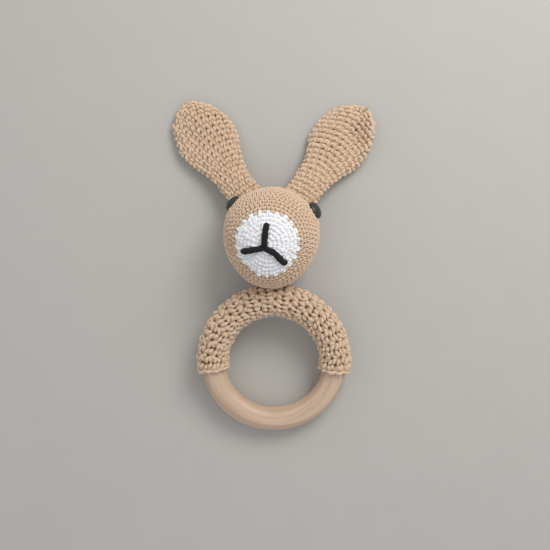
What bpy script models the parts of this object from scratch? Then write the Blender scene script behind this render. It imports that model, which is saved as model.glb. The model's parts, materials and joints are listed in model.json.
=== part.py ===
"""Crocheted rabbit teething ring, lying on its back.

A plain beech ring turns inside a crocheted cover that is sewn shut around it. A stuffed, crocheted
rabbit's head is sewn to the outer side of the cover, and two flat crocheted ears are sewn to the back
of the head. Units are metres. +Z is up, +Y runs from the ring to the ears, and "left" is the -X side.
The origin is under the middle of the toy, on the surface that it lies on.
"""

from math import acos, asin, cos, pi, radians, sin, sqrt

import bmesh
import bpy
from mathutils import Euler, Matrix, Vector

MM = 0.001
GAP = 0.3 * MM  # clearance between pieces that touch on the real toy

# Beech ring
RING_OUTER_RADIUS = 35.0 * MM
RING_THICKNESS = 11.4 * MM
RING_TUBE_RADIUS = RING_THICKNESS / 2
RING_MEAN_RADIUS = RING_OUTER_RADIUS - RING_TUBE_RADIUS
RING_CENTRE = Vector((0.0, -46.0 * MM))

# Crocheted cover around the ring
COVER_OUTER_RADIUS = 8.1 * MM
COVER_WALL = COVER_OUTER_RADIUS - RING_TUBE_RADIUS - GAP
COVER_SWEEP = radians(199)
COVER_START = -(COVER_SWEEP - pi) / 2
COVER_SEAM_RADIUS = 0.8 * MM
COVER_SEAM_END = radians(2)

# Head
HEAD_RADIUS = 21.7 * MM
HEAD_WALL = 1.8 * MM
HEAD_REST_DEPTH = 0.4 * MM
HEAD_OFFSET_X = -1.2 * MM
HEAD_CENTRE_HEIGHT = HEAD_RADIUS - HEAD_REST_DEPTH
HEAD_TILT = Euler((radians(14.5), radians(-4), radians(-5)), "XYZ")
MUZZLE_HALF_ANGLE = radians(45)

# Sewing yarn at the neck, which is also the line that the head nods about
SEWING_YARN_RADIUS = 0.5 * MM
SEAM_SPACE = 2 * SEWING_YARN_RADIUS + GAP
NECK_SEAM_LENGTH = 12 * MM

# The ring's far side and the head both touch the ground, with the ring's plane through the head's centre
HEAD_DISTANCE = RING_MEAN_RADIUS + COVER_OUTER_RADIUS + SEAM_SPACE + HEAD_RADIUS
RING_SLOPE = asin((HEAD_CENTRE_HEIGHT - RING_TUBE_RADIUS) / (RING_MEAN_RADIUS + HEAD_DISTANCE))
RING_CENTRE_HEIGHT = RING_TUBE_RADIUS + RING_MEAN_RADIUS * sin(RING_SLOPE)

# Ears
EAR_DIRECTIONS = {"left": radians(33.5), "right": radians(-36.0)}  # from +Y, anticlockwise
EAR_ROOT_DEPTH = radians(22)  # how far behind the head's middle the ears are sewn
EAR_LENGTH = 57.5 * MM
EAR_ROOT_HALF_WIDTH = 8.2 * MM
EAR_HALF_WIDTH = 14.8 * MM
EAR_HALF_THICKNESS = 3.0 * MM
EAR_EDGE_HALF_THICKNESS = 0.7 * MM
EAR_WIDEST = 0.62  # share of the length
EAR_FLARE = 2.5
EAR_SAG = 3  # how soon the ear comes down to the ground
EAR_EDGE_ROUNDNESS = 2.5
EAR_ROOT_TAPER = 0.12  # share of the length over which the root reaches full thickness
EAR_SEAM_LENGTH = 12 * MM

# Safety eyes and their washers, held in the head's wall
EYE_SPREAD = radians(56)
EYE_POLAR = radians(96)
EYE_RADIUS = 4.2 * MM
EYE_HEIGHT = 2.9 * MM
STEM_RADIUS = 1.45 * MM
STEM_RIB_RADIUS = 1.75 * MM
STEM_LENGTH = 8.0 * MM
STEM_RIBS = 4
STEM_RIB_PITCH = 0.9 * MM
STEM_HOLE_RADIUS = STEM_RIB_RADIUS + GAP
WASHER_RADIUS = 5.0 * MM
WASHER_THICKNESS = 1.4 * MM
WASHER_EDGE = 0.4 * MM
EYE_RIM = 0.5 * MM
EYE_CUT_TOP = 6 * MM  # how far the cutters for an eye stand out of the head
EYE_HOLE_DEPTH = 6 * MM

# Face stitches: thick yarn over the muzzle, between (polar, azimuth) places about the muzzle's middle
FACE_YARN_RADIUS = 1.15 * MM
FACE_JUNCTION = (4.0, -134)
NOSE_TOP = (24.4, 95)
MOUTH_LEFT_END = (33.1, -158)
MOUTH_RIGHT_BEND = (13.0, -40)
MOUTH_RIGHT_END = (29.4, -45)
FACE_JUNCTION_SPACE = 1.7 * MM

# Flat faces around or along each curved piece
RING_STEPS = 72
RING_TUBE_STEPS = 20
COVER_STEPS = 36
COVER_TUBE_STEPS = 20
COVER_SEAM_STEPS = 32
HEAD_STEPS = 36
HEAD_BALL_STEPS = 13
HEAD_CAP_STEPS = 6
STUFFING_STEPS = 32
STUFFING_ARC_STEPS = 16
EYE_STEPS = 20
EYE_DOME_STEPS = 6
CUTTER_STEPS = 24
EAR_AROUND_STEPS = 24
EAR_BODY_STEPS = 12
EAR_TIP_STEPS = 8
FACE_STITCH_STEP = radians(3)
MERGE_DISTANCE = 0.01 * MM
AXIS_DISTANCE = 0.001 * MM
EAR_SHARP_ANGLE = radians(60)

COLOURS = {
    "beech": ((0.62, 0.47, 0.34), 0.55),
    "oat_yarn": ((0.56, 0.42, 0.31), 0.95),
    "white_yarn": ((0.80, 0.80, 0.82), 0.95),
    "black_yarn": ((0.02, 0.02, 0.022), 0.9),
    "eye_plastic": ((0.01, 0.01, 0.011), 0.25),
    "washer_plastic": ((0.75, 0.75, 0.72), 0.5),
    "stuffing": ((0.85, 0.85, 0.83), 1.0),
}


def clear_scene():
    for thing in list(bpy.data.objects):
        bpy.data.objects.remove(thing, do_unlink=True)


def new_collection(name):
    collection = bpy.data.collections.new(name)
    bpy.context.scene.collection.children.link(collection)
    return collection


def make_material(name):
    colour, roughness = COLOURS[name]
    material = bpy.data.materials.new(name)
    material.use_nodes = True
    shader = material.node_tree.nodes["Principled BSDF"]
    shader.inputs["Base Color"].default_value = (*colour, 1.0)
    shader.inputs["Roughness"].default_value = roughness
    shader.inputs["Metallic"].default_value = 0.0
    return material


def add_empty(name, location, rotation=None, parent=None):
    """An empty that places the pieces below it."""
    empty = bpy.data.objects.new(name, None)
    parts.objects.link(empty)
    empty.parent = parent
    empty.location = location
    if rotation is not None:
        empty.rotation_euler = rotation
    return empty


def add_piece(name, data, material, parent=None, collection=None):
    """A named object with one material, placed by its parent."""
    piece = bpy.data.objects.new(name, data)
    (collection or parts).objects.link(piece)
    piece.parent = parent
    if material:
        data.materials.append(materials[material])
    return piece


def as_cutter(cutter):
    cutter.hide_render = True
    cutter.display_type = "WIRE"
    return cutter


def add_boolean(piece, cutter):
    cut = piece.modifiers.new("cut " + cutter.name, "BOOLEAN")
    cut.operation = "DIFFERENCE"
    cut.object = cutter


def profile_mesh(name, points):
    """An open outline in the XZ plane, for a Screw modifier."""
    mesh = bpy.data.meshes.new(name)
    edges = [(i, i + 1) for i in range(len(points) - 1)]
    mesh.from_pydata([(x, 0, z) for x, z in points], edges, [])
    return mesh


def add_screw(piece, steps, angle=2 * pi):
    screw = piece.modifiers.new("turn", "SCREW")
    screw.angle = angle
    screw.steps = steps
    screw.render_steps = steps
    screw.use_smooth_shade = True
    screw.use_merge_vertices = angle == 2 * pi
    screw.merge_threshold = MERGE_DISTANCE


def add_wall(piece, thickness):
    """Thickness added on the inside of an outline's outer face."""
    wall = piece.modifiers.new("wall", "SOLIDIFY")
    wall.thickness = thickness
    wall.offset = -1


def arc(radius, start, end, steps, centre_x=0.0):
    """Points on a circle in the XZ plane, from angle start to angle end above the X axis."""
    angles = [start + (end - start) * i / steps for i in range(steps + 1)]
    return [(centre_x + radius * cos(a), radius * sin(a)) for a in angles]


def on_axis(points):
    """The same points with the first and the last one moved exactly onto the axis where they nearly are."""
    return [(0.0 if abs(x) < AXIS_DISTANCE else x, z) for x, z in points]


def sphere_direction(polar, azimuth):
    return Vector((sin(polar) * cos(azimuth), sin(polar) * sin(azimuth), cos(polar)))


def add_yarn(name, points, radius, material, parent, resolution=2):
    """A round length of yarn through the points, with closed ends."""
    curve = bpy.data.curves.new(name, "CURVE")
    curve.dimensions = "3D"
    curve.bevel_depth = radius
    curve.bevel_resolution = resolution
    curve.use_fill_caps = True
    spline = curve.splines.new("POLY")
    spline.points.add(len(points) - 1)
    for place, point in zip(spline.points, points):
        place.co = (*point, 1.0)
    return add_piece(name, curve, material, parent)


def add_straight_yarn(name, length, material, parent):
    """Sewing yarn drawn tight along its parent's X axis."""
    ends = [Vector((-length / 2, 0, 0)), Vector((length / 2, 0, 0))]
    return add_yarn(name, ends, SEWING_YARN_RADIUS, material, parent, resolution=3)


def add_wooden_ring(frame):
    bpy.ops.mesh.primitive_torus_add(
        major_radius=RING_MEAN_RADIUS,
        minor_radius=RING_TUBE_RADIUS,
        major_segments=RING_STEPS,
        minor_segments=RING_TUBE_STEPS,
    )
    ring = bpy.context.object
    ring.name = "wooden_ring"
    for collection in list(ring.users_collection):
        collection.objects.unlink(ring)
    parts.objects.link(ring)
    ring.parent = frame
    ring.data.materials.append(materials["beech"])
    ring.data.shade_smooth()


def add_cover(frame):
    """The cover's wall, open along its back where the two long edges of the strip are sewn together."""
    wall_middle = (COVER_OUTER_RADIUS + RING_TUBE_RADIUS + GAP) / 2
    half_slit = asin((COVER_SEAM_RADIUS + GAP) / wall_middle)
    first, last = -pi / 2 - half_slit, -5 * pi / 2 + half_slit
    outline = arc(COVER_OUTER_RADIUS, first, last, COVER_TUBE_STEPS, RING_MEAN_RADIUS)
    cover = add_piece("ring_cover", profile_mesh("ring_cover", outline), "oat_yarn", frame)
    cover.rotation_euler = (0, 0, COVER_START)
    add_screw(cover, COVER_STEPS, COVER_SWEEP)
    add_wall(cover, COVER_WALL)

    sweep = COVER_SWEEP - 2 * COVER_SEAM_END
    start = COVER_START + COVER_SEAM_END
    angles = [start + sweep * i / COVER_SEAM_STEPS for i in range(COVER_SEAM_STEPS + 1)]
    points = [Vector((RING_MEAN_RADIUS * cos(a), RING_MEAN_RADIUS * sin(a), -wall_middle)) for a in angles]
    add_yarn("cover_seam", points, COVER_SEAM_RADIUS, "oat_yarn", frame)


def add_head_wall(head, eyes):
    """The ball's oat-coloured rounds and, in their opening, the white rounds of the muzzle."""
    half_gap = GAP / (2 * HEAD_RADIUS)
    ball = arc(HEAD_RADIUS, pi / 2 - MUZZLE_HALF_ANGLE - half_gap, -pi / 2, HEAD_BALL_STEPS)
    shell = add_piece("head_shell", profile_mesh("head_shell", on_axis(ball)), "oat_yarn", head)
    add_screw(shell, HEAD_STEPS)
    add_wall(shell, HEAD_WALL)

    cap = arc(HEAD_RADIUS, pi / 2, pi / 2 - MUZZLE_HALF_ANGLE + half_gap, HEAD_CAP_STEPS)
    muzzle = add_piece("muzzle", profile_mesh("muzzle", on_axis(cap)), "white_yarn", head)
    add_screw(muzzle, HEAD_STEPS)
    add_wall(muzzle, HEAD_WALL)

    for side, eye in eyes.items():
        hole = add_cylinder("eye_hole_" + side, STEM_HOLE_RADIUS, EYE_HOLE_DEPTH, eye)
        add_boolean(shell, hole)
    add_boolean(shell, ground_cutter("ground_under_shell", 0))


def add_cylinder(name, radius, depth, parent):
    """A cutter along an eye's axis, from outside the head to the given depth below the eye's seat."""
    length = EYE_CUT_TOP + depth
    mesh = bpy.data.meshes.new(name)
    shape = bmesh.new()
    bmesh.ops.create_cone(
        shape,
        cap_ends=True,
        segments=CUTTER_STEPS,
        radius1=radius,
        radius2=radius,
        depth=length,
        matrix=Matrix.Translation((0, 0, EYE_CUT_TOP - length / 2)),
    )
    shape.to_mesh(mesh)
    shape.free()
    return as_cutter(add_piece(name, mesh, None, parent, cutters))


def ground_cutter(name, top):
    """A block whose upper face is level, at the given height, under the head."""
    side = 3 * HEAD_RADIUS
    mesh = bpy.data.meshes.new(name)
    shape = bmesh.new()
    bmesh.ops.create_cube(shape, size=side, matrix=Matrix.Translation((0, 0, top - side / 2)))
    shape.to_mesh(mesh)
    shape.free()
    cutter = as_cutter(add_piece(name, mesh, None, None, cutters))
    cutter.location = (head_centre.x, head_centre.y, 0)
    return cutter


def add_stuffing(head, eyes):
    """Fibre fill that takes up the ball's inside, up to the washers and stems of the eyes."""
    radius = HEAD_RADIUS - HEAD_WALL - GAP
    outline = arc(radius, pi / 2, -pi / 2, STUFFING_ARC_STEPS)
    fill = add_piece("head_stuffing", profile_mesh("head_stuffing", on_axis(outline)), "stuffing", head)
    add_screw(fill, STUFFING_STEPS)
    pocket_depth = STEM_LENGTH + 2 * GAP
    for side, eye in eyes.items():
        pocket = add_cylinder("eye_pocket_" + side, WASHER_RADIUS + GAP, pocket_depth, eye)
        add_boolean(fill, pocket)
    add_boolean(fill, ground_cutter("ground_under_stuffing", HEAD_WALL + GAP))


def eye_outline():
    """A low dome with a rolled rim, a flat back and a ribbed stem."""
    crown = EYE_HEIGHT - EYE_RIM
    angles = [pi / 2 * i / EYE_DOME_STEPS for i in range(EYE_DOME_STEPS + 1)]
    dome = [(EYE_RADIUS * sin(a), EYE_RIM + crown * cos(a)) for a in angles]
    back = [(EYE_RADIUS, EYE_RIM / 2), (EYE_RADIUS - EYE_RIM / 2, 0), (STEM_RADIUS, 0)]
    stem = []
    first_rib = STEM_LENGTH - STEM_RIBS * STEM_RIB_PITCH
    for i in range(STEM_RIBS):
        top = -first_rib - i * STEM_RIB_PITCH
        stem += [(STEM_RADIUS, top), (STEM_RIB_RADIUS, top - STEM_RIB_PITCH / 3)]
        stem += [(STEM_RADIUS, top - 2 * STEM_RIB_PITCH / 3)]
    tip = [(STEM_RADIUS, -STEM_LENGTH + STEM_RIB_PITCH / 4), (STEM_RADIUS / 2, -STEM_LENGTH), (0, -STEM_LENGTH)]
    return on_axis(dome + back + stem + tip)


def add_eye(side, eye):
    """One safety eye, pushed through the wall from outside, and the washer that locks it inside."""
    piece = add_piece("eye_" + side, profile_mesh("eye_" + side, eye_outline()), "eye_plastic", eye)
    add_screw(piece, EYE_STEPS)

    inside = HEAD_RADIUS - HEAD_WALL
    seat = sqrt(inside**2 - WASHER_RADIUS**2) - GAP - (HEAD_RADIUS + GAP)
    ring = [
        (STEM_HOLE_RADIUS, seat - WASHER_THICKNESS),
        (STEM_HOLE_RADIUS, seat),
        (WASHER_RADIUS - WASHER_EDGE, seat),
        (WASHER_RADIUS, seat - WASHER_EDGE),
        (WASHER_RADIUS, seat - WASHER_THICKNESS),
        (STEM_HOLE_RADIUS, seat - WASHER_THICKNESS),
    ]
    name = "eye_washer_" + side
    washer = add_piece(name, profile_mesh(name, ring), "washer_plastic", eye)
    add_screw(washer, EYE_STEPS)


def stitch_path(*places):
    """Points over the muzzle through (polar, azimuth) places in degrees, along great circles.
    The first place is the junction of the face stitches, and the path starts a little after it."""
    radius = HEAD_RADIUS + GAP + FACE_YARN_RADIUS
    stops = [sphere_direction(radians(p), radians(a)) for p, a in places]
    step = FACE_STITCH_STEP
    points = []
    for i, (start, end) in enumerate(zip(stops, stops[1:])):
        angle = acos(start.dot(end))
        first = FACE_JUNCTION_SPACE / radius if i == 0 else step
        count = max(2, round((angle - first) / step))
        for j in range(count + 1):
            share = (first + (angle - first) * j / count) / angle
            points.append(start.slerp(end, share) * radius)
    return points


def add_face(head):
    nose = stitch_path(FACE_JUNCTION, NOSE_TOP)
    left = stitch_path(FACE_JUNCTION, MOUTH_LEFT_END)
    right = stitch_path(FACE_JUNCTION, MOUTH_RIGHT_BEND, MOUTH_RIGHT_END)
    stitches = {"nose_stitch": nose, "mouth_stitch_left": left, "mouth_stitch_right": right}
    for name, points in stitches.items():
        add_yarn(name, points, FACE_YARN_RADIUS, "black_yarn", head)


def ear_stations():
    """(share of length, half width, half thickness) from the sewn root to just before the tip."""
    stations = []
    for i in range(EAR_BODY_STEPS):
        share = EAR_WIDEST * i / EAR_BODY_STEPS
        flare = (0.5 - 0.5 * cos(pi * share / EAR_WIDEST)) ** EAR_FLARE
        width = EAR_ROOT_HALF_WIDTH + (EAR_HALF_WIDTH - EAR_ROOT_HALF_WIDTH) * flare
        swell = min(1.0, share / EAR_ROOT_TAPER)
        swell = sin(swell * pi / 2)
        thickness = EAR_EDGE_HALF_THICKNESS + (EAR_HALF_THICKNESS - EAR_EDGE_HALF_THICKNESS) * swell
        stations.append((share, width, thickness))
    for i in range(EAR_TIP_STEPS):
        angle = pi / 2 * i / EAR_TIP_STEPS
        share = EAR_WIDEST + (1 - EAR_WIDEST) * sin(angle)
        thickness = EAR_HALF_THICKNESS * sqrt(1 - sin(angle) ** 4)
        stations.append((share, EAR_HALF_WIDTH * cos(angle), thickness))
    return stations


def ear_mesh(name, root_height):
    """A flat, closed, pressed tube that leaves the head downwards and comes to lie on the ground.
    Its frame is on the sewn line: X along that line, Y along the ear."""
    around = EAR_AROUND_STEPS
    power = 2 / EAR_EDGE_ROUNDNESS
    start = SEWING_YARN_RADIUS + GAP
    run = EAR_LENGTH - start
    drop = root_height - EAR_HALF_THICKNESS
    mesh = bpy.data.meshes.new(name)
    shape = bmesh.new()
    rings = []
    for share, width, thickness in ear_stations():
        height = -drop * (1 - (1 - share) ** EAR_SAG)
        ring = []
        for i in range(around):
            angle = 2 * pi * i / around
            across = abs(cos(angle)) ** power * (1 if cos(angle) > 0 else -1)
            up = abs(sin(angle)) ** power * (1 if sin(angle) > 0 else -1)
            ring.append(shape.verts.new((width * across, start + run * share, height + thickness * up)))
        rings.append(ring)
    tip = shape.verts.new((0, EAR_LENGTH, -drop))
    for ring, following in zip(rings, rings[1:]):
        for i in range(around):
            j = (i + 1) % around
            shape.faces.new((ring[i], following[i], following[j], ring[j]))
    for i in range(around):
        shape.faces.new((rings[-1][i], tip, rings[-1][(i + 1) % around]))
    shape.faces.new(rings[0])
    bmesh.ops.recalc_face_normals(shape, faces=shape.faces)
    shape.to_mesh(mesh)
    shape.free()
    mesh.shade_smooth()
    mesh.set_sharp_from_angle(angle=EAR_SHARP_ANGLE)
    return mesh


def add_ear(side):
    """One ear and the yarn that sews it to the back of the head, on the ear's hinge line."""
    direction = EAR_DIRECTIONS[side]
    reach = HEAD_RADIUS + SEAM_SPACE / 2
    outward = Vector((-sin(direction), cos(direction), 0)) * cos(EAR_ROOT_DEPTH)
    root = head_centre + reach * (outward - Vector((0, 0, sin(EAR_ROOT_DEPTH))))
    hinge = add_empty("ear_hinge_" + side, root, (0, 0, direction))
    add_piece("ear_" + side, ear_mesh("ear_" + side, root.z), "oat_yarn", hinge)
    add_straight_yarn("ear_seam_" + side, EAR_SEAM_LENGTH, "oat_yarn", hinge)


clear_scene()
parts = new_collection("rabbit_teething_ring")
cutters = new_collection("cutters")
materials = {name: make_material(name) for name in COLOURS}

ring_frame = add_empty("ring_frame", (*RING_CENTRE, RING_CENTRE_HEIGHT), (RING_SLOPE, 0, 0))
add_wooden_ring(ring_frame)
add_cover(ring_frame)

neck_distance = RING_MEAN_RADIUS + COVER_OUTER_RADIUS + SEAM_SPACE / 2
neck = add_empty("neck", (HEAD_OFFSET_X, neck_distance, 0), None, ring_frame)
add_straight_yarn("neck_seam", NECK_SEAM_LENGTH, "oat_yarn", neck)

head_centre = Vector((
    RING_CENTRE.x + HEAD_OFFSET_X,
    RING_CENTRE.y + HEAD_DISTANCE * cos(RING_SLOPE),
    HEAD_CENTRE_HEIGHT,
))
head_frame = add_empty("head_frame", head_centre, HEAD_TILT)
eye_frames = {}
for eye_side, eye_azimuth in (("left", pi / 2 + EYE_SPREAD), ("right", pi / 2 - EYE_SPREAD)):
    out = sphere_direction(EYE_POLAR, eye_azimuth)
    turn = out.to_track_quat("Z", "Y").to_euler()
    eye_frames[eye_side] = add_empty("eye_frame_" + eye_side, out * (HEAD_RADIUS + GAP), turn, head_frame)

add_head_wall(head_frame, eye_frames)
add_stuffing(head_frame, eye_frames)
add_face(head_frame)
for eye_side, eye_frame in eye_frames.items():
    add_eye(eye_side, eye_frame)
for ear_side in EAR_DIRECTIONS:
    add_ear(ear_side)
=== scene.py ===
"""Looks of the crocheted rabbit teething ring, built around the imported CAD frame.

Every crocheted piece is real yarn: each stitch is the few runs of yarn that show of it, laid over a smooth
surface that has the piece's shape, with the inside of the wall behind them. Units are metres.
"""

import json
from math import acos, cos, pi, radians, sin

import bmesh
import bpy
import numpy as np
from mathutils import Euler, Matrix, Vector

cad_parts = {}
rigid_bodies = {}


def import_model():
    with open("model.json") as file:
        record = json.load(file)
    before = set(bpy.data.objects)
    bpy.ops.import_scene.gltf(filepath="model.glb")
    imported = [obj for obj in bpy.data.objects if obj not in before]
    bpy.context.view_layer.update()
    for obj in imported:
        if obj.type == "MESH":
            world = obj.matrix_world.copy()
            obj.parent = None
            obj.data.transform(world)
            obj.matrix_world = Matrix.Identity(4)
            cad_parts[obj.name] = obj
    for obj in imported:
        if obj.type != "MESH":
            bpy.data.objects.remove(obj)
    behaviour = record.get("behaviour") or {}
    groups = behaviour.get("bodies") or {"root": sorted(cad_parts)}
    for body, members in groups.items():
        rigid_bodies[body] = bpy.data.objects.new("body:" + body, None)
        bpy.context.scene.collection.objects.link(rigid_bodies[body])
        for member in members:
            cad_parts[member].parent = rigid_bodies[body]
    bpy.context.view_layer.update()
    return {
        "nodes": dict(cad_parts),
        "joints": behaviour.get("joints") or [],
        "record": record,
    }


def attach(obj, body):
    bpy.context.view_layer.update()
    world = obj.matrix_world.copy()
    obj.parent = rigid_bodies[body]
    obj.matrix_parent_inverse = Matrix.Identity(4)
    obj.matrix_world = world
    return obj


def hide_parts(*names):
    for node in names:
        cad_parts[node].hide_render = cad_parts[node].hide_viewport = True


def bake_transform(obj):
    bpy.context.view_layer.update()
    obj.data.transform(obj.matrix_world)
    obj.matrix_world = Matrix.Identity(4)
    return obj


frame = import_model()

MM = 0.001
SEED = 7

joints = {joint["name"]: joint for joint in frame["joints"]}

# Ring and cover
RING_CENTRE = Vector(joints["ring_turn"]["pos_m"])
RING_AXIS = Vector(joints["ring_turn"]["axis"])
RING_MEAN_RADIUS = 29.3 * MM
RING_TUBE_RADIUS = 5.7 * MM
COVER_RADIUS = 7.85 * MM
COVER_SWEEP = radians(199)
COVER_ROWS = 28
COVER_STITCHES = 10  # across the strip, from one edge of the seam to the other
COVER_SLIT = 0.045  # share of a turn
COVER_YARN = 0.88 * MM  # radius, as are the other yarns
COVER_SEAM_YARN = 0.8 * MM
COVER_FIRST_ROW = 0.008  # share of the strip's length
COVER_LAST_ROW = 0.984
COVER_EDGE_BULGE = 0.12  # in rows
COVER_WALL_DEPTH = -0.25  # below the stitches' surface in yarn radii, as are the other walls' depths
COVER_HOLE = 0.9 * MM
COVER_LOOSENESS = 1.5  # how uneven its stitches are, as for the other pieces
LACING_SIDES = (-0.06, 0.06)  # share of a turn

# Head
HEAD_REST = Vector(frame["record"]["mounts"][0]["pos_m"])
HEAD_RADIUS = 21.7 * MM
HEAD_CENTRE = HEAD_REST + Vector((0, 0, 21.3 * MM))
HEAD_TILT = Euler((radians(14.5), radians(-4), radians(-5)), "XYZ").to_matrix()
HEAD_VISIBLE_RADIUS = 22.6 * MM
HEAD_STRETCH = 0.13  # longer towards the ring
HEAD_STRETCH_HEIGHT = 19.5 * MM  # above the table, where the stretch begins
HEAD_STRETCH_FADE = 5 * MM
HEAD_REST_SOFTNESS = 0.3 * MM
HEAD_ROUND_START = 0.85  # share of a turn
HEAD_WALL_END = 0.85  # share of the way from the muzzle's middle to the back
HEAD_WALL_DEPTH = 0.05
HEAD_HOLE = 0.34 * MM
HEAD_YARN = 0.55 * MM
HEAD_PITCH = 2.1 * MM
HEAD_ROW = 1.95 * MM
MUZZLE_ROUNDS = 7
MUZZLE_EDGE_STITCHES = 44
MUZZLE_EDGE = 0.35  # how far the white wall reaches under the round of two colours, in rows
MUZZLE_WALL_DEPTH = -0.3
MUZZLE_HOLE = 0.25 * MM
MUZZLE_LOOSENESS = 2.0
WHITE_YARN = 0.78 * MM
STUFFING_INSET = 3.2 * MM
STUFFING_FLOOR = 3.3 * MM
STUFFING_SINK = 0.6 * MM

# Face stitches, between (polar, azimuth) places in degrees about the muzzle's middle
FACE_YARN = 1.42 * MM
FACE_SEAT = 0.35  # above the ball, in yarn radii
FACE_STEP = radians(1.2)
FACE_DIVE = 0.09  # share of a stitch over which it dives in
FACE_END_DEPTH = 1.7 * MM
NOSE_START_DEPTH = 0.5 * MM
MOUTH_START_DEPTH = 0.2 * MM
FACE_JUNCTION = (4.0, -134)
NOSE_TOP = (24.4, 95)
MOUTH_LEFT_END = (33.1, -158)
MOUTH_RIGHT_BEND = (13.0, -40)
MOUTH_RIGHT_END = (29.4, -45)
MOUTH_RIGHT_HOOK = (30.6, -40)

# Eyes
EYE_SPREAD = radians(56)
EYE_POLAR = radians(96)
EYE_RADIUS = 4.2 * MM
EYE_HEIGHT = 2.9 * MM
EYE_SEAT = 1.1 * MM  # above the ball
EYE_LIFT = 0.3  # how much the eye faces up
EYE_RIM = 0.5 * MM
EYE_EDGE = 0.08 * MM
EYE_STEM_RADIUS = 1.45 * MM
EYE_STEM_LENGTH = 8.0 * MM
STEM_RIBS = 4
STEM_RIB_START = 4.4 * MM
STEM_RIB_PITCH = 0.9 * MM
STEM_RIB_HEIGHT = 0.3 * MM
# The yarn's seat for an eye, in mm: a raised rim at a distance from its middle, and a dip beneath it
SEAT_RIM_REACH = 5.6
SEAT_RIM_WIDTH = 1.6
SEAT_RIM_RISE = 0.55
SEAT_DIP_WIDTH = 3.2
SEAT_DIP_DEPTH = 0.5

# Ears
EAR_LENGTH = 57.5 * MM
EAR_START = 0.8 * MM
EAR_ROOT_HALF_WIDTH = 8.2 * MM
EAR_HALF_WIDTH = 14.8 * MM
EAR_HALF_THICKNESS = 3.0 * MM
EAR_EDGE_HALF_THICKNESS = 0.7 * MM
EAR_WIDEST = 0.62  # share of the length, as are the taper, the bow and the fade
EAR_FLARE = 2.5
EAR_SAG = 3  # how soon the ear comes down to the table
EAR_ROUNDNESS = 2.5
EAR_ROOT_TAPER = 0.12
EAR_BOW = 0.13
EAR_BOW_START = 0.08
EAR_TIP_FADE = 0.02
EAR_INSET = 0.75 * MM  # from the outside of the ear to the surface its stitches sit on
EAR_THINNEST = 0.12 * MM
EAR_YARN = 0.86 * MM
EAR_PITCH = 3.4 * MM
EAR_ROW = 2.9 * MM
EAR_DRIFT = -0.37  # share of a stitch
EAR_ROUND_START = 0.55  # share of a turn
EAR_LAST_ROUND = 0.985
EAR_WALL_DEPTH = -0.15
EAR_HOLE = 0.62 * MM
EAR_LOOSENESS = 1.6
# The dent in each ear's upper layer: place across, place along, depth, and how far the edge curls up
EAR_HOLLOWS = {"left": (-0.4, 0.7, 1.0 * MM, 0.0), "right": (0.42, 0.77, 4.4 * MM, 3.5 * MM)}
DENT_WIDTH = 0.36
DENT_LENGTH = 0.11
CURL_WIDTH = 0.45
CURL_LENGTH = 0.2
CURL_PLACE = 0.06  # nearer the tip than the dent
EAR_SEAM_LENGTH = 12 * MM
EAR_SEAM_REACH = 1.7 * MM
EAR_SEAM_RISE = 1.0 * MM

# Sewing
SEWING_YARN = 0.5 * MM
SEWING_PITCH = 1.7 * MM
SEWING_SLANT = 0.35  # of the pitch
SEWING_SPREAD = 0.05 * MM
NECK_SEAM_LENGTH = 12 * MM
NECK_SEAM_REACH = 2.3 * MM
NECK_SEAM_RISE = 1.9 * MM

# Camera, straight above with the ears at the top of the view, and lights
CAMERA_PLACE = (0.48 * MM, -5.13 * MM, 400 * MM)
CAMERA_ANGLE = 37.5
CAMERA_CLIP = 10 * MM
ROOM_COLOUR = (0.985, 0.99, 1.0, 1)
ROOM_STRENGTH = 0.67
WINDOW_PLACE = (0.26, 0.38, 0.46)
WINDOW_SIZE = 0.35
WINDOW_POWER = 2.4
WINDOW_COLOUR = (1.0, 0.985, 0.96)
FLOOR_SIZE = 6

# How the yarn of one stitch runs, seen from outside with the work growing downwards: places (to the right
# in stitch widths, down in rows, up from the surface in yarn radii) that each visible run goes through. The
# holes beside it are at (to the right, down).
ROUND_STITCH = (
    ((0.17, 0.10, -1.2), (0.04, 0.38, 0.1), (-0.11, 0.62, 0.05), (-0.22, 0.88, -1.1)),
    ((0.22, 0.08, -1.2), (0.34, 0.38, 0.15), (0.43, 0.66, 0.15), (0.46, 0.96, -1.1)),
)
ROUND_HOLES = ((0.0, 0.0),)
# The same in the finer, tighter work of the ball, where the stitches stand straight.
BALL_STITCH = (
    ((-0.05, 0.08, -1.0), (-0.16, 0.36, 0.1), (-0.24, 0.64, 0.05), (-0.28, 0.94, -1.0)),
    ((0.05, 0.08, -1.0), (0.16, 0.36, 0.1), (0.24, 0.64, 0.05), (0.28, 0.94, -1.0)),
)
BALL_HOLES = ((0.5, 0.1),)
# In the ball's round of two colours, the white stitches are drawn to a point.
POINTED_STITCH = (
    ((-0.30, -0.15, -0.6), (-0.24, 0.15, 0.1), (-0.14, 0.45, 0.1), (-0.03, 0.90, -0.8)),
    ((0.30, -0.15, -0.6), (0.24, 0.15, 0.1), (0.14, 0.45, 0.1), (0.03, 0.90, -0.8)),
)
# Two rows of a flat strip turned after each row: first from the front, then from the back.
TURNED_STITCH = (
    ((0.12, 0.18, -0.7), (0.20, 0.38, 0.1), (0.32, 0.62, 0.15), (0.43, 0.93, -0.7)),
    ((-0.05, 0.20, -0.7), (-0.08, 0.44, 0.1), (-0.13, 0.72, 0.15), (-0.17, 1.03, -0.7)),
    ((-0.15, 1.08, -0.7), (-0.21, 1.36, 0.1), (-0.32, 1.62, 0.15), (-0.43, 1.90, -0.7)),
    ((0.37, 0.98, -0.7), (0.27, 1.22, 0.15), (0.15, 1.46, 0.2), (0.09, 1.76, -0.7)),
    ((-0.25, 2.05, -0.7), (-0.42, 2.07, 0.0), (-0.60, 2.08, 0.0), (-0.77, 2.04, -0.7)),
)
TURNED_HOLES = ((0.0, 0.0), (-0.33, 1.0), (0.16, 1.0))

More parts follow.
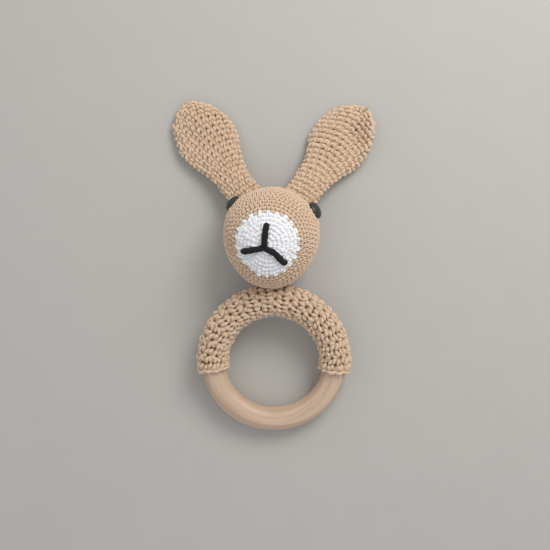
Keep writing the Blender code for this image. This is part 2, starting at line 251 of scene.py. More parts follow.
WALL_LINING = 0.15 * MM
HOLE_DEPTH = 1.3  # in hole sizes
STITCH_SEAT = 1.1  # from the outside of a piece to the surface its stitches sit on, in yarn radii

# How much one stitch differs from the next, times a piece's looseness
SPREAD_ACROSS = 0.025  # in stitch widths
SPREAD_DOWN = 0.03  # in rows
SPREAD_SLANT = 0.03
SPREAD_LIFT = 0.12  # in yarn radii
SPREAD_THICKNESS = 0.045

CROSS_SECTION = 9  # corners of a strand's section
STATIONS = 9  # sections along a run of yarn
WAVES = 6


# ---------------------------------------------------------------- surfaces


def unit(vectors):
    return vectors / np.maximum(np.linalg.norm(vectors, axis=-1, keepdims=True), 1e-12)


class Surface:
    """A smooth surface as a fine grid of points. u in 0..1 goes round it, v in 0..1 along its rows. Seen from
    outside with v growing downwards, u grows to the right if right is 1, and to the left if it is -1."""

    def __init__(self, points, outward=1):
        self.right = -outward
        steps = np.linalg.norm(np.diff(points, axis=0), axis=2).mean(axis=1)
        travelled = np.concatenate([[0], np.cumsum(steps)])
        self.length = travelled[-1]
        wanted = np.linspace(0, self.length, len(points))
        low = np.clip(np.searchsorted(travelled, wanted, side="right") - 1, 0, len(points) - 2)
        share = ((wanted - travelled[low]) / np.maximum(steps[low], 1e-12))[:, None, None]
        self.points = points[low] * (1 - share) + points[low + 1] * share
        round_it = np.roll(self.points, -1, axis=1) - np.roll(self.points, 1, axis=1)
        along_it = np.gradient(self.points, axis=0)
        self.normals = unit(np.cross(round_it, along_it)) * outward

    def sample(self, grid, u, v):
        rows, columns = grid.shape[:2]
        x = (u % 1.0) * columns
        y = np.clip(v, 0.0, 1.0) * (rows - 1)
        j = x.astype(int) % columns
        i = np.minimum(y.astype(int), rows - 2)
        k = (j + 1) % columns
        fx = (x - np.floor(x))[..., None]
        fy = (y - i)[..., None]
        near = grid[i, j] * (1 - fx) + grid[i, k] * fx
        far = grid[i + 1, j] * (1 - fx) + grid[i + 1, k] * fx
        return near * (1 - fy) + far * fy

    def at(self, u, v, height):
        """Points at that height above the surface, and the surface's normals there."""
        normal = unit(self.sample(self.normals, u, v))
        return self.sample(self.points, u, v) + normal * height[..., None], normal

    def girth(self, v):
        u = np.linspace(0, 1, 200, endpoint=False)
        loop = self.sample(self.points, u, np.full(200, v))
        return np.linalg.norm(loop - np.roll(loop, 1, axis=0), axis=1).sum()


def to_world(local, origin, x_axis, y_axis, z_axis):
    basis = np.array([x_axis, y_axis, z_axis], float)
    return local @ basis + np.array(origin)


def even_round(points):
    """Each row's points moved along its closed loop until they are evenly spaced."""
    rows, columns = points.shape[:2]
    result = np.empty_like(points)
    for i in range(rows):
        loop = np.vstack([points[i], points[i][:1]])
        travelled = np.concatenate([[0], np.cumsum(np.linalg.norm(np.diff(loop, axis=0), axis=1))])
        wanted = np.linspace(0, travelled[-1], columns, endpoint=False)
        for axis in range(3):
            result[i, :, axis] = np.interp(wanted, travelled, loop[:, axis])
    return result


def soft_waves(points, size, amount, seed):
    """A gentle unevenness of hand-made work: a sum of a few slow waves, as a height for each point."""
    rng = np.random.default_rng(seed)
    total = np.zeros(points.shape[:-1])
    for _ in range(WAVES):
        direction = unit(rng.normal(size=3)) / size * rng.uniform(0.6, 1.6)
        total += np.sin(2 * pi * (points @ direction) + rng.uniform(0, 2 * pi))
    return total * amount / WAVES


def ring_axes():
    z_axis = np.array(RING_AXIS)
    x_axis = np.array((1.0, 0.0, 0.0))
    return x_axis, np.cross(z_axis, x_axis), z_axis


def ring_surface(tube_radius, start, sweep, rows=241, columns=96):
    """A stretch of the ring's tube. u = 0 is at its back, and grows over its outer side."""
    theta = (start + sweep * np.linspace(0, 1, rows))[:, None]
    psi = (-pi / 2 + 2 * pi * np.arange(columns) / columns)[None, :]
    reach = RING_MEAN_RADIUS + tube_radius * np.cos(psi)
    height = tube_radius * np.sin(psi) + 0 * theta
    local = np.stack([reach * np.cos(theta), reach * np.sin(theta), height], axis=-1)
    return Surface(to_world(local, RING_CENTRE, *ring_axes()), outward=-1)


def head_to_world(local):
    return local @ np.array(HEAD_TILT).T + np.array(HEAD_CENTRE)


def sphere_direction(polar, azimuth):
    return np.array((sin(polar) * cos(azimuth), sin(polar) * sin(azimuth), cos(polar)))


def eye_direction(side):
    return sphere_direction(EYE_POLAR, pi / 2 - side * EYE_SPREAD)


def head_surface(radius, floor, rows=181, columns=180):
    """The ball of the head, flattened where it would reach below the height floor. v runs from the muzzle's
    middle to the back, and u round the muzzle."""
    polar = (pi * np.linspace(0.002, 0.998, rows))[:, None]
    azimuth = (2 * pi * np.arange(columns) / columns)[None, :]
    height = np.cos(polar) + 0 * azimuth
    out = np.stack([np.sin(polar) * np.cos(azimuth), np.sin(polar) * np.sin(azimuth), height], -1)
    reach = radius + soft_waves(out, size=1.2, amount=0.35 * MM, seed=SEED)
    for side in (-1, 1):
        away = np.arccos(np.clip(out @ eye_direction(side), -1, 1)) * radius / MM
        rim = SEAT_RIM_RISE * np.exp(-(((away - SEAT_RIM_REACH) / SEAT_RIM_WIDTH) ** 2))
        dip = SEAT_DIP_DEPTH * np.exp(-((away / SEAT_DIP_WIDTH) ** 2))
        reach += (rim - dip) * MM
    points = head_to_world(out * reach[..., None])
    behind = np.clip((HEAD_CENTRE.y - points[..., 1]) / radius, 0, 1)
    high = np.clip((points[..., 2] - HEAD_STRETCH_HEIGHT) / HEAD_STRETCH_FADE, 0, 1)
    points[..., 1] -= HEAD_STRETCH * radius * behind**2 * high * high * (3 - 2 * high)
    above = (points[..., 2] - floor) / HEAD_REST_SOFTNESS
    points[..., 2] = floor + np.logaddexp(0, above) * HEAD_REST_SOFTNESS
    return Surface(points, outward=-1)


def ear_half_width(share):
    flare = (0.5 - 0.5 * np.cos(pi * np.minimum(share / EAR_WIDEST, 1))) ** EAR_FLARE
    tip = np.clip((share - EAR_WIDEST) / (1 - EAR_WIDEST), 0, 1)
    return (EAR_ROOT_HALF_WIDTH + (EAR_HALF_WIDTH - EAR_ROOT_HALF_WIDTH) * flare) * np.sqrt(1 - tip**2)


def ear_half_thickness(share):
    swell = np.sin(np.minimum(share / EAR_ROOT_TAPER, 1) * pi / 2)
    tip = np.clip((share - EAR_WIDEST) / (1 - EAR_WIDEST), 0, 1)
    full = EAR_EDGE_HALF_THICKNESS + (EAR_HALF_THICKNESS - EAR_EDGE_HALF_THICKNESS) * swell
    return full * np.sqrt(1 - tip**4)


def ear_surface(joint, inset, hollow, seed, rows=200, columns=160):
    """A pressed tube from its tip to its sewn root. Its rounds bow towards the tip, as worked ones do.
    hollow is the dent that makes it cup, as in EAR_HOLLOWS."""
    hinge = np.array(joint["pos_m"])
    x_axis = np.array(joint["axis"])
    z_axis = np.array((0.0, 0.0, 1.0))
    y_axis = np.cross(z_axis, x_axis)
    run = EAR_LENGTH - EAR_START - inset
    v = np.linspace(0.0, 1.0, rows)[:, None]
    middle = 1 - v
    angle = 2 * pi * np.arange(columns)[None, :] / columns + 0 * v
    power = 2 / EAR_ROUNDNESS
    across = np.abs(np.cos(angle)) ** power * np.sign(np.cos(angle))
    up = np.abs(np.sin(angle)) ** power * np.sign(np.sin(angle))
    bow = EAR_BOW * (1 - np.exp(-v / EAR_BOW_START)) * middle
    share = np.clip(middle - bow * across**2, 0, 1)
    width = np.maximum(ear_half_width(share) - inset, 0)
    thickness = np.maximum(ear_half_thickness(share) - inset, EAR_THINNEST)
    fade = np.minimum(np.sqrt(np.clip(1 - share, 0, 1) / EAR_TIP_FADE), 1)
    drop = (hinge[2] - EAR_HALF_THICKNESS) * (1 - (1 - share) ** EAR_SAG)
    dent_x, dent_share, depth, rim = hollow
    beyond = share - dent_share
    dent = depth * np.exp(-(((across - dent_x) / DENT_WIDTH) ** 2) - (beyond / DENT_LENGTH) ** 2)
    beside = (across - 1) / CURL_WIDTH
    curl = rim * np.exp(-(beside**2) - ((beyond - CURL_PLACE) / CURL_LENGTH) ** 2)
    height = thickness * fade * up - drop - dent * np.clip(up, 0, 1) + curl
    local = np.stack([width * across, EAR_START + run * share, height], axis=-1)
    local[..., 2] += soft_waves(local, size=30 * MM, amount=0.5 * MM, seed=seed)
    points = to_world(local, hinge, x_axis, y_axis, z_axis)
    points[..., 2] = np.maximum(points[..., 2], STITCH_SEAT * EAR_YARN)
    return Surface(even_round(points))


# ---------------------------------------------------------------- meshes


def mesh_object(name, vertices, quads, caps=()):
    """A mesh from arrays: quads is (n, 4), and caps is a list of (n, corners) arrays of other faces."""
    faces = [quads, *caps]
    corners = np.concatenate([f.ravel() for f in faces]).astype(np.int32)
    sizes = np.concatenate([np.full(len(f), f.shape[1]) for f in faces])
    mesh = bpy.data.meshes.new(name)
    mesh.vertices.add(len(vertices))
    mesh.vertices.foreach_set("co", np.asarray(vertices, np.float32).ravel())
    mesh.loops.add(len(corners))
    mesh.loops.foreach_set("vertex_index", corners)
    mesh.polygons.add(len(sizes))
    mesh.polygons.foreach_set("loop_start", (np.cumsum(sizes) - sizes).astype(np.int32))
    mesh.update(calc_edges=True)
    mesh.validate()
    mesh.shade_smooth()
    piece = bpy.data.objects.new(name, mesh)
    bpy.context.scene.collection.objects.link(piece)
    return piece


def set_vectors(mesh, name, domain, values):
    attribute = mesh.attributes.new(name, "FLOAT_VECTOR", domain)
    attribute.data.foreach_set("vector", np.asarray(values, np.float32).ravel())


def strand_piece(name, strands, corners=CROSS_SECTION):
    """One mesh of many strands of yarn. Each entry of strands is (centres, normals, radii, tint), with
    arrays of (strands, stations, ...). The yarn attribute holds each corner's place on its strand: turn,
    length along it in yarn diameters, and tint."""
    vertices, quads, caps, marks = [], [], [], []
    base = 0
    for centre, normal, radius, tint in strands:
        count, stations = centre.shape[:2]
        tangent = unit(np.gradient(centre, axis=1))
        side = unit(np.cross(tangent, normal))
        lift = np.cross(side, tangent)
        turn = 2 * pi * np.arange(corners) / corners
        ring = side[:, :, None] * np.cos(turn)[:, None] + lift[:, :, None] * np.sin(turn)[:, None]
        vertices.append((centre[:, :, None] + ring * radius[:, :, None, None]).reshape(-1, 3))
        step = np.linalg.norm(np.diff(centre, axis=1), axis=2)
        along = np.concatenate([np.zeros((count, 1)), np.cumsum(step, axis=1)], axis=1) / (2 * radius.max())
        index = base + np.arange(count * stations * corners).reshape(count, stations, corners)
        following = np.roll(index, -1, axis=2)
        quad = np.stack([index[:, :-1], following[:, :-1], following[:, 1:], index[:, 1:]], axis=-1)
        quads.append(quad.reshape(-1, 4))
        turn_here = np.broadcast_to(np.arange(corners) / corners, (count, stations - 1, corners))
        turn_next = turn_here + 1 / corners
        here = np.broadcast_to(along[:, :-1, None], turn_here.shape)
        after = np.broadcast_to(along[:, 1:, None], turn_here.shape)
        shade = np.broadcast_to(tint[:, None, None], turn_here.shape)
        mark = [(turn_here, here), (turn_next, here), (turn_next, after), (turn_here, after)]
        marks.append(np.stack([np.stack([t, a, shade], -1) for t, a in mark], axis=-2).reshape(-1, 3))
        caps.append((index[:, 0, ::-1], index[:, -1], tint))
        base += count * stations * corners
    ends = [np.concatenate([first, last]) for first, last, _ in caps]
    for _, _, tint in caps:
        for _ in range(2):
            marks.append(np.repeat(np.stack([0 * tint, 0 * tint, tint], -1), corners, axis=0))
    piece = mesh_object(name, np.concatenate(vertices), np.concatenate(quads), ends)
    set_vectors(piece.data, "yarn", "CORNER", np.concatenate(marks))
    return piece


def slab(name, outer, inner, closed=True):
    """A closed wall between two grids of points, with its rows closed into loops or left as a strip."""
    rows, columns = outer.shape[:2]
    index = np.arange(rows * columns).reshape(rows, columns)
    back = index + rows * columns
    if closed:
        index = np.hstack([index, index[:, :1]])
        back = np.hstack([back, back[:, :1]])

    def strip(a, b, c, d):
        return np.stack([a, b, c, d], axis=-1).reshape(-1, 4)

    quads = [
        strip(index[:-1, :-1], index[:-1, 1:], index[1:, 1:], index[1:, :-1]),
        strip(back[:-1, :-1], back[1:, :-1], back[1:, 1:], back[:-1, 1:]),
        strip(index[0, :-1], back[0, :-1], back[0, 1:], index[0, 1:]),
        strip(index[-1, :-1], index[-1, 1:], back[-1, 1:], back[-1, :-1]),
    ]
    if not closed:
        quads.append(strip(index[:-1, 0], index[1:, 0], back[1:, 0], back[:-1, 0]))
        quads.append(strip(index[:-1, -1], back[:-1, -1], back[1:, -1], index[1:, -1]))
    vertices = np.concatenate([outer.reshape(-1, 3), inner.reshape(-1, 3)])
    return mesh_object(name, vertices, np.concatenate(quads))


def skin(name, surface, depth, u_range, v_range, columns, rows, holes, hole_size):
    """The inside of a crocheted wall, seen between its stitches, with a deeper pit at each hole. Its hollow
    attribute marks where the lining's material paints shade into the pits.
    """
    closed = u_range == (0, 1)
    u = np.linspace(*u_range, columns, endpoint=not closed)[None, :]
    v = np.linspace(*v_range, rows)[:, None]
    u, v = np.broadcast_arrays(u, v)
    level, _ = surface.at(u, v, np.full(u.shape, -depth))
    hollow = np.zeros(u.shape)
    for hole in holes:
        away = ((level - hole) ** 2).sum(axis=-1) / hole_size**2
        near = away < 9
        hollow[near] = np.maximum(hollow[near], np.exp(-away[near]))
    outer, _ = surface.at(u, v, -depth - hollow * hole_size * HOLE_DEPTH)
    inner, _ = surface.at(u, v, np.full(u.shape, -depth - hole_size * HOLE_DEPTH - WALL_LINING))
    wall = recalculate(slab(name, outer, inner, closed))
    # The hollow attribute: how much painted shade the lining gets, strongest down in each hole.
    marks = np.zeros((2 * hollow.size, 3))
    marks[: hollow.size, 0] = hollow.ravel()
    set_vectors(wall.data, "hollow", "POINT", marks)
    return wall


def hole_places(surface, places, depth, offsets):
    """The holes beside the feet of stitches, offset in stitch widths to the right and rows down."""
    found = []
    for right, down in offsets:
        u = places[:, 0] + surface.right * right * places[:, 2]
        point, _ = surface.at(u, places[:, 1] + down * places[:, 3], np.full(len(places), -depth))
        found.append(point)
    return np.concatenate(found)


def recalculate(piece):
    """Faces out, whichever way the grid was wound."""
    shape = bmesh.new()
    shape.from_mesh(piece.data)
    bmesh.ops.recalc_face_normals(shape, faces=shape.faces)
    shape.to_mesh(piece.data)
    shape.free()
    return piece


def join(name, pieces):
    """Several meshes as one piece, which keeps each one's material."""
    for other in bpy.context.view_layer.objects:
        other.select_set(False)
    for piece in pieces:
        piece.select_set(True)
    bpy.context.view_layer.objects.active = pieces[0]
    bpy.ops.object.join()
    pieces[0].name = name
    pieces[0].data.name = name
    return pieces[0]


# ---------------------------------------------------------------- stitches


def stitch_rounds(surface, pitch, row, last=1.0, drift=-0.5, begin=0.0, counts=None, multiple=1):
    """The places of stitches worked round and round from u = begin: u and v of the foot, sizes du and dv,
    row, and number in it. The rounds drift sideways, as crocheted ones do."""
    number = max(1, round(last * surface.length / row))
    dv = last / number
    places = []
    phase = begin
    for i in range(number):
        v = i * dv
        count = counts(i) if counts else None
        if count is None:
            count = max(6, multiple * round(surface.girth(v + dv / 2) / pitch / multiple))
        k = np.arange(count)
        du = 1 / count
        phase += surface.right * drift * du
        u = k * du + phase
        sizes = (0 * k + du, 0 * k + dv)
        places.append(np.stack([u, v + k * du * dv, *sizes, 0 * k + i, k], axis=-1))
    return np.concatenate(places)


def strip_places(first, last, rows, sides, stitches, row_step=1):
    """The places of the stitches of a flat strip, between two sides of it in u."""
    du = (sides[1] - sides[0]) / stitches
    dv = (last - first) / rows
    i, k = np.meshgrid(np.arange(0, rows, row_step), np.arange(stitches), indexing="ij")
    u = sides[0] + (k + 0.5) * du
    v = first + i * dv
    return np.stack([u, v, 0 * u + du, 0 * u + dv, i, k], axis=-1).reshape(-1, 6)


def through(stops, t):
    """A smooth curve through the stops."""
    stops = np.array(stops, float)
    stops = np.vstack([2 * stops[0] - stops[1], stops, 2 * stops[-1] - stops[-2]])
    along = t * (len(stops) - 3)
    i = np.minimum(along.astype(int), len(stops) - 4)
    f = (along - i)[:, None]
    a, b, c, d = stops[i], stops[i + 1], stops[i + 2], stops[i + 3]
    return 0.5 * (2 * b + (c - a) * f + (2 * a - 5 * b + 4 * c - d) * f**2 + (3 * b - a - 3 * c + d) * f**3)


def run_strands(surface, places, stops, yarn, rng, stations=STATIONS, loose=1.0):
    """One run of yarn in every stitch, each a little different, swelling in its middle."""
    u, v, du, dv = (places[:, i, None] for i in range(4))
    count = len(places)

    def vary(amount):
        return rng.normal(0, amount * loose, (count, 1))

    t = np.linspace(0, 1, stations)
    across, down, up = through(stops, t).T
    across = across + vary(SPREAD_ACROSS) + vary(SPREAD_SLANT) * (2 * t - 1)
    down = down + vary(SPREAD_DOWN) + vary(SPREAD_SLANT) * (2 * t - 1)
    height = yarn * (up + vary(SPREAD_LIFT))
    swell = 0.5 + 0.5 * np.sin(pi * np.clip(0.04 + 0.92 * t, 0, 1)) ** 0.7
    radius = yarn * (1 + vary(SPREAD_THICKNESS)) * swell
    centre, normal = surface.at(u + surface.right * across * du, v + down * dv, height)
    return centre, normal, radius, rng.uniform(0, 1, count)


def crochet(surface, places, pattern, yarn, rng, stations=STATIONS, loose=1.0):
    return [run_strands(surface, places, stops, yarn, rng, stations, loose=loose) for stops in pattern]


def thick_yarn(path, normals, radius, seed):
    """A doubled yarn pulled into one plump stitch, a little uneven, with blunt ends."""
    rng = np.random.default_rng(seed)
    share = np.linspace(0, 1, len(path))
    waves = sum(np.sin(2 * pi * (share * rng.uniform(1.5, 5) + rng.uniform())) for _ in range(3))
    ends = 1 - 0.35 * (np.exp(-((share / 0.05) ** 2)) + np.exp(-(((1 - share) / 0.05) ** 2)))
    size = radius * (1 + 0.03 * waves) * ends
    return [(path[None], normals[None], size[None], rng.uniform(0, 1, 1))]


# ---------------------------------------------------------------- materials


def new_material(name, roughness, **constants):
    material = bpy.data.materials.new(name)
    material.use_nodes = True
    tree = material.node_tree
    shader = tree.nodes["Principled BSDF"]
    shader.inputs["Roughness"].default_value = roughness
    for socket, value in constants.items():
        shader.inputs[socket.replace("_", " ")].default_value = value
    return material, tree, shader


def node(tree, kind, inputs=None, **settings):
    made = tree.nodes.new("ShaderNode" + kind)
    for key, value in settings.items():
        setattr(made, key, value)
    for socket, value in (inputs or {}).items():
        if isinstance(value, bpy.types.NodeSocket):
            tree.links.new(value, made.inputs[socket])
        else:
            made.inputs[socket].default_value = value
    return made


def calculate(tree, operation, *values):
    made = node(tree, "Math", dict(enumerate(values)), operation=operation)
    return made.outputs[0]


def blend_colour(tree, share, low, high):
    made = node(tree, "Mix", data_type="RGBA")
    for socket, value in ((made.inputs[0], share), (made.inputs[6], low), (made.inputs[7], high)):
        if isinstance(value, bpy.types.NodeSocket):
            tree.links.new(value, socket)
        else:
            socket.default_value = value if not isinstance(value, tuple) else (*value, 1.0)
    return made.outputs[2]


def yarn_material(name, dark, mid, light, plies=4, twist=0.55, strength=0.6, sheen=0.25):
    """Spun cotton: plies that twist along each strand, fine fibres, and slight changes of dye. The grooves
    between the plies are painted shade, darkened towards the dark colour.
    """
    gloss = {"Sheen_Weight": sheen, "Sheen_Roughness": 0.6, "Specular_IOR_Level": 0.25}
    material, tree, shader = new_material(name, 0.92, **gloss)
    marks = node(tree, "Attribute", attribute_name="yarn")
    parts = node(tree, "SeparateXYZ", {0: marks.outputs["Vector"]})
    turn, along, tint = parts.outputs[0], parts.outputs[1], parts.outputs[2]
    place = node(tree, "TexCoord").outputs["Object"]

    winding = calculate(tree, "MULTIPLY", along, plies * twist)
    ply = calculate(tree, "ADD", calculate(tree, "MULTIPLY", turn, plies), winding)
    ridge = calculate(tree, "ABSOLUTE", calculate(tree, "SINE", calculate(tree, "MULTIPLY", ply, pi)))
    fibres = node(tree, "TexNoise", {"Vector": place, "Scale": 9000.0, "Detail": 2.0, "Roughness": 0.6})
    patches = node(tree, "TexNoise", {"Vector": place, "Scale": 260.0, "Detail": 3.0, "Roughness": 0.55})

    strand_dye = calculate(tree, "MULTIPLY", tint, 0.35)
    dyed = calculate(tree, "ADD", calculate(tree, "MULTIPLY", patches.outputs[0], 0.7), strand_dye)
    # Painted shade: the grooves between the plies are darkened towards the dark colour.
    ply_groove_shade = calculate(tree, "POWER", ridge, 0.6)
    colour = blend_colour(tree, dyed, mid, light)
    colour = blend_colour(tree, ply_groove_shade, dark, colour)
    tree.links.new(colour, shader.inputs["Base Color"])

    relief = calculate(tree, "ADD", ridge, calculate(tree, "MULTIPLY", fibres.outputs[0], 0.5))
    bump = node(tree, "Bump", {"Height": relief, "Strength": strength, "Distance": 0.12 * MM})
    tree.links.new(bump.outputs[0], shader.inputs["Normal"])
    rough = calculate(tree, "ADD", calculate(tree, "MULTIPLY", fibres.outputs[0], 0.15), 0.82)
    tree.links.new(rough, shader.inputs["Roughness"])
    return material


def lining_material(name, dark, mid):
    """The same yarn deeper inside the wall: its colours are painted half shade, and the holes are painted
    shade, darkened down towards the dark colour.
    """
    material, tree, shader = new_material(name, 1.0, Specular_IOR_Level=0.1)
    place = node(tree, "TexCoord").outputs["Object"]
    patches = node(tree, "TexNoise", {"Vector": place, "Scale": 1400.0, "Detail": 3.0, "Roughness": 0.6})
    marks = node(tree, "Attribute", attribute_name="hollow")
    hollow = node(tree, "SeparateXYZ", {0: marks.outputs["Vector"]}).outputs[0]
    # Random patches vary the tone a little; the hollow attribute adds painted shade down in the holes.
    shade = node(tree, "MapRange", {0: patches.outputs[0], 1: 0.3, 2: 0.7, 3: 0.0, 4: 0.3}).outputs[0]
    shade = node(tree, "Math", {0: shade, 1: hollow}, operation="ADD", use_clamp=True).outputs[0]
    tree.links.new(blend_colour(tree, shade, mid, dark), shader.inputs["Base Color"])
    bump = node(tree, "Bump", {"Height": patches.outputs[0], "Strength": 0.7, "Distance": 0.3 * MM})
    tree.links.new(bump.outputs[0], shader.inputs["Normal"])
    return material


def beech_material():
    """Sanded, lightly oiled beech: fine streaks along the ring, whose pale colour is a painted highlight of
    light reflexes and whose relief is grain, short flecks and soft colour bands.
    """
    gloss = {"Specular_IOR_Level": 0.4, "Coat_Weight": 0.08, "Coat_Roughness": 0.35}
    material, tree, shader = new_material("beech", 0.5, **gloss)
    marks = node(tree, "Attribute", attribute_name="grain").outputs["Vector"]

    def streaks(scale, stretch, detail):
        fitted = node(tree, "VectorMath", {0: marks, 1: stretch}, operation="MULTIPLY").outputs[0]
        noise = {"Vector": fitted, "Scale": scale, "Detail": detail, "Roughness": 0.6}
        return node(tree, "TexNoise", noise).outputs[0]

    bands = streaks(1.0, (0.025, 0.5, 0.5), 3.0)
    grain_and_highlight_streaks = streaks(1.0, (0.06, 2.6, 2.6), 4.0)
    flecks = streaks(1.0, (0.55, 3.2, 3.2), 1.0)
    tone = node(tree, "MapRange", {0: bands, 1: 0.35, 2: 0.65}).outputs[0]
    fine = node(tree, "MapRange", {0: grain_and_highlight_streaks, 1: 0.35, 2: 0.7}).outputs[0]
    fleck = node(tree, "MapRange", {0: flecks, 1: 0.66, 2: 0.74}).outputs[0]

    colour = blend_colour(tree, tone, (0.45, 0.305, 0.205), (0.60, 0.435, 0.315))
    # Painted highlight: pale streaks along the ring, for the light reflexes on the turned wood.
    colour = blend_colour(tree, calculate(tree, "MULTIPLY", fine, 0.45), colour, (0.70, 0.54, 0.42))
    colour = blend_colour(tree, calculate(tree, "MULTIPLY", fleck, 0.45), colour, (0.34, 0.215, 0.14))
    tree.links.new(colour, shader.inputs["Base Color"])
    relief = calculate(tree, "SUBTRACT", grain_and_highlight_streaks, calculate(tree, "MULTIPLY", fleck, 0.3))
    bump = node(tree, "Bump", {"Height": relief, "Strength": 0.25, "Distance": 0.1 * MM})
    tree.links.new(bump.outputs[0], shader.inputs["Normal"])
    rough = node(tree, "MapRange", {0: grain_and_highlight_streaks, 3: 0.42, 4: 0.6}).outputs[0]
    tree.links.new(rough, shader.inputs["Roughness"])
    return material


def plastic_material(name, low, high, roughness, grain):
    material, tree, shader = new_material(name, roughness, Specular_IOR_Level=0.5)
    place = node(tree, "TexCoord").outputs["Object"]
    patches = node(tree, "TexNoise", {"Vector": place, "Scale": grain, "Detail": 3.0})
    tree.links.new(blend_colour(tree, patches.outputs[0], low, high), shader.inputs["Base Color"])
    bump = node(tree, "Bump", {"Height": patches.outputs[0], "Strength": 0.08, "Distance": 0.05 * MM})
    tree.links.new(bump.outputs[0], shader.inputs["Normal"])
    rough = node(tree, "MapRange", {0: patches.outputs[0], 3: roughness * 0.8, 4: roughness * 1.3})
    tree.links.new(rough.outputs[0], shader.inputs["Roughness"])
    return material


def floor_material():
    material, tree, shader = new_material("pale_floor", 0.85)
    place = node(tree, "TexCoord").outputs["Object"]
    patches = node(tree, "TexNoise", {"Vector": place, "Scale": 40.0, "Detail": 4.0})
    colour = blend_colour(tree, patches.outputs[0], (0.45, 0.437, 0.413), (0.475, 0.461, 0.437))
    tree.links.new(colour, shader.inputs["Base Color"])
    return material


def set_material(piece, material):
    piece.data.materials.clear()
    piece.data.materials.append(material)
    return piece


# ---------------------------------------------------------------- pieces


def make_ring():
    """The beech ring, turned and sanded to a slightly uneven round section."""
    rows, columns = 288, 64
    surface = ring_surface(RING_TUBE_RADIUS, 0, 2 * pi, rows + 1, columns)
    grid = surface.points[:-1]
    normals = surface.normals[:-1]
    grid = grid + normals * soft_waves(grid, size=25 * MM, amount=0.05 * MM, seed=SEED)[..., None]
    index = np.arange(rows * columns).reshape(rows, columns)
    right = np.roll(index, -1, axis=1)
    quads = np.stack([index, right, np.roll(right, -1, axis=0), np.roll(index, -1, axis=0)], axis=-1)
    ring = recalculate(mesh_object("beech_ring", grid.reshape(-1, 3), quads.reshape(-1, 4)))
    theta = 2 * pi * np.arange(rows) / rows
    psi = 2 * pi * np.arange(columns) / columns
    theta, psi = np.meshgrid(theta, psi, indexing="ij")
    grain = np.stack([
        RING_MEAN_RADIUS / MM * np.minimum(theta, 2 * pi - theta),
        RING_TUBE_RADIUS / MM * np.cos(psi),
        RING_TUBE_RADIUS / MM * np.sin(psi),
    ], axis=-1)
    set_vectors(ring.data, "grain", "POINT", grain.reshape(-1, 3))
    set_material(ring, materials["beech"])
    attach(ring, "ring")
    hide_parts("wooden_ring")


def make_cover():
    """The crocheted strip round the ring, its finished ends and the laced seam at its back."""
    rng = np.random.default_rng(SEED + 1)
    yarn = COVER_YARN
    start = -(COVER_SWEEP - pi) / 2
    surface = ring_surface(COVER_RADIUS - STITCH_SEAT * yarn, start, COVER_SWEEP)
    lumps = soft_waves(surface.points, size=9 * MM, amount=0.3 * MM, seed=SEED + 4)
    surface.points += surface.normals * lumps[..., None]
    sides = (COVER_SLIT / 2, 1 - COVER_SLIT / 2)
    places = strip_places(COVER_FIRST_ROW, COVER_LAST_ROW, COVER_ROWS, sides, COVER_STITCHES, row_step=2)
    strands = crochet(surface, places, TURNED_STITCH, yarn, rng, loose=COVER_LOOSENESS)
    for v, bulge in ((COVER_FIRST_ROW, -COVER_EDGE_BULGE), (COVER_LAST_ROW, COVER_EDGE_BULGE)):
        edge = ((-0.55, -bulge, -0.8), (-0.2, bulge, 0.1), (0.2, bulge, 0.1), (0.55, -bulge, -0.8))
        ends = strip_places(v, v + 1 / COVER_ROWS, 1, sides, COVER_STITCHES)
        strands.append(run_strands(surface, ends, edge, yarn, rng, loose=COVER_LOOSENESS))
    fabric = strand_piece("cover_stitches", strands)
    set_material(fabric, materials["oat_yarn"])
    depth = COVER_WALL_DEPTH * yarn
    holes = hole_places(surface, places, depth, TURNED_HOLES)
    grid = {"u_range": sides, "v_range": (0.012, 0.988), "columns": 140, "rows": 281}
    wall = skin("cover_wall", surface, depth, **grid, holes=holes, hole_size=COVER_HOLE)
    set_material(wall, materials["oat_lining"])
    cover = join("crocheted_cover", [fabric, wall])
    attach(cover, "cover")
    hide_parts("ring_cover")

    lacing = ((-0.5, 0.0, -1.4), (-0.25, 0.25, 0.3), (0.25, 0.75, 0.3), (0.5, 1.0, -1.4))
    seats = strip_places(COVER_FIRST_ROW, COVER_LAST_ROW, COVER_ROWS, LACING_SIDES, 1)
    seam = strand_piece("cover_lacing", [run_strands(surface, seats, lacing, COVER_SEAM_YARN, rng)])
    set_material(seam, materials["oat_yarn"])
    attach(seam, "cover")
    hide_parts("cover_seam")


def head_counts(i):
    """Six more stitches each round over the white muzzle, as crocheters work a ball."""
    if i < MUZZLE_ROUNDS:
        return 6 * (i + 1)
    if i == MUZZLE_ROUNDS:
        return MUZZLE_EDGE_STITCHES
    return None


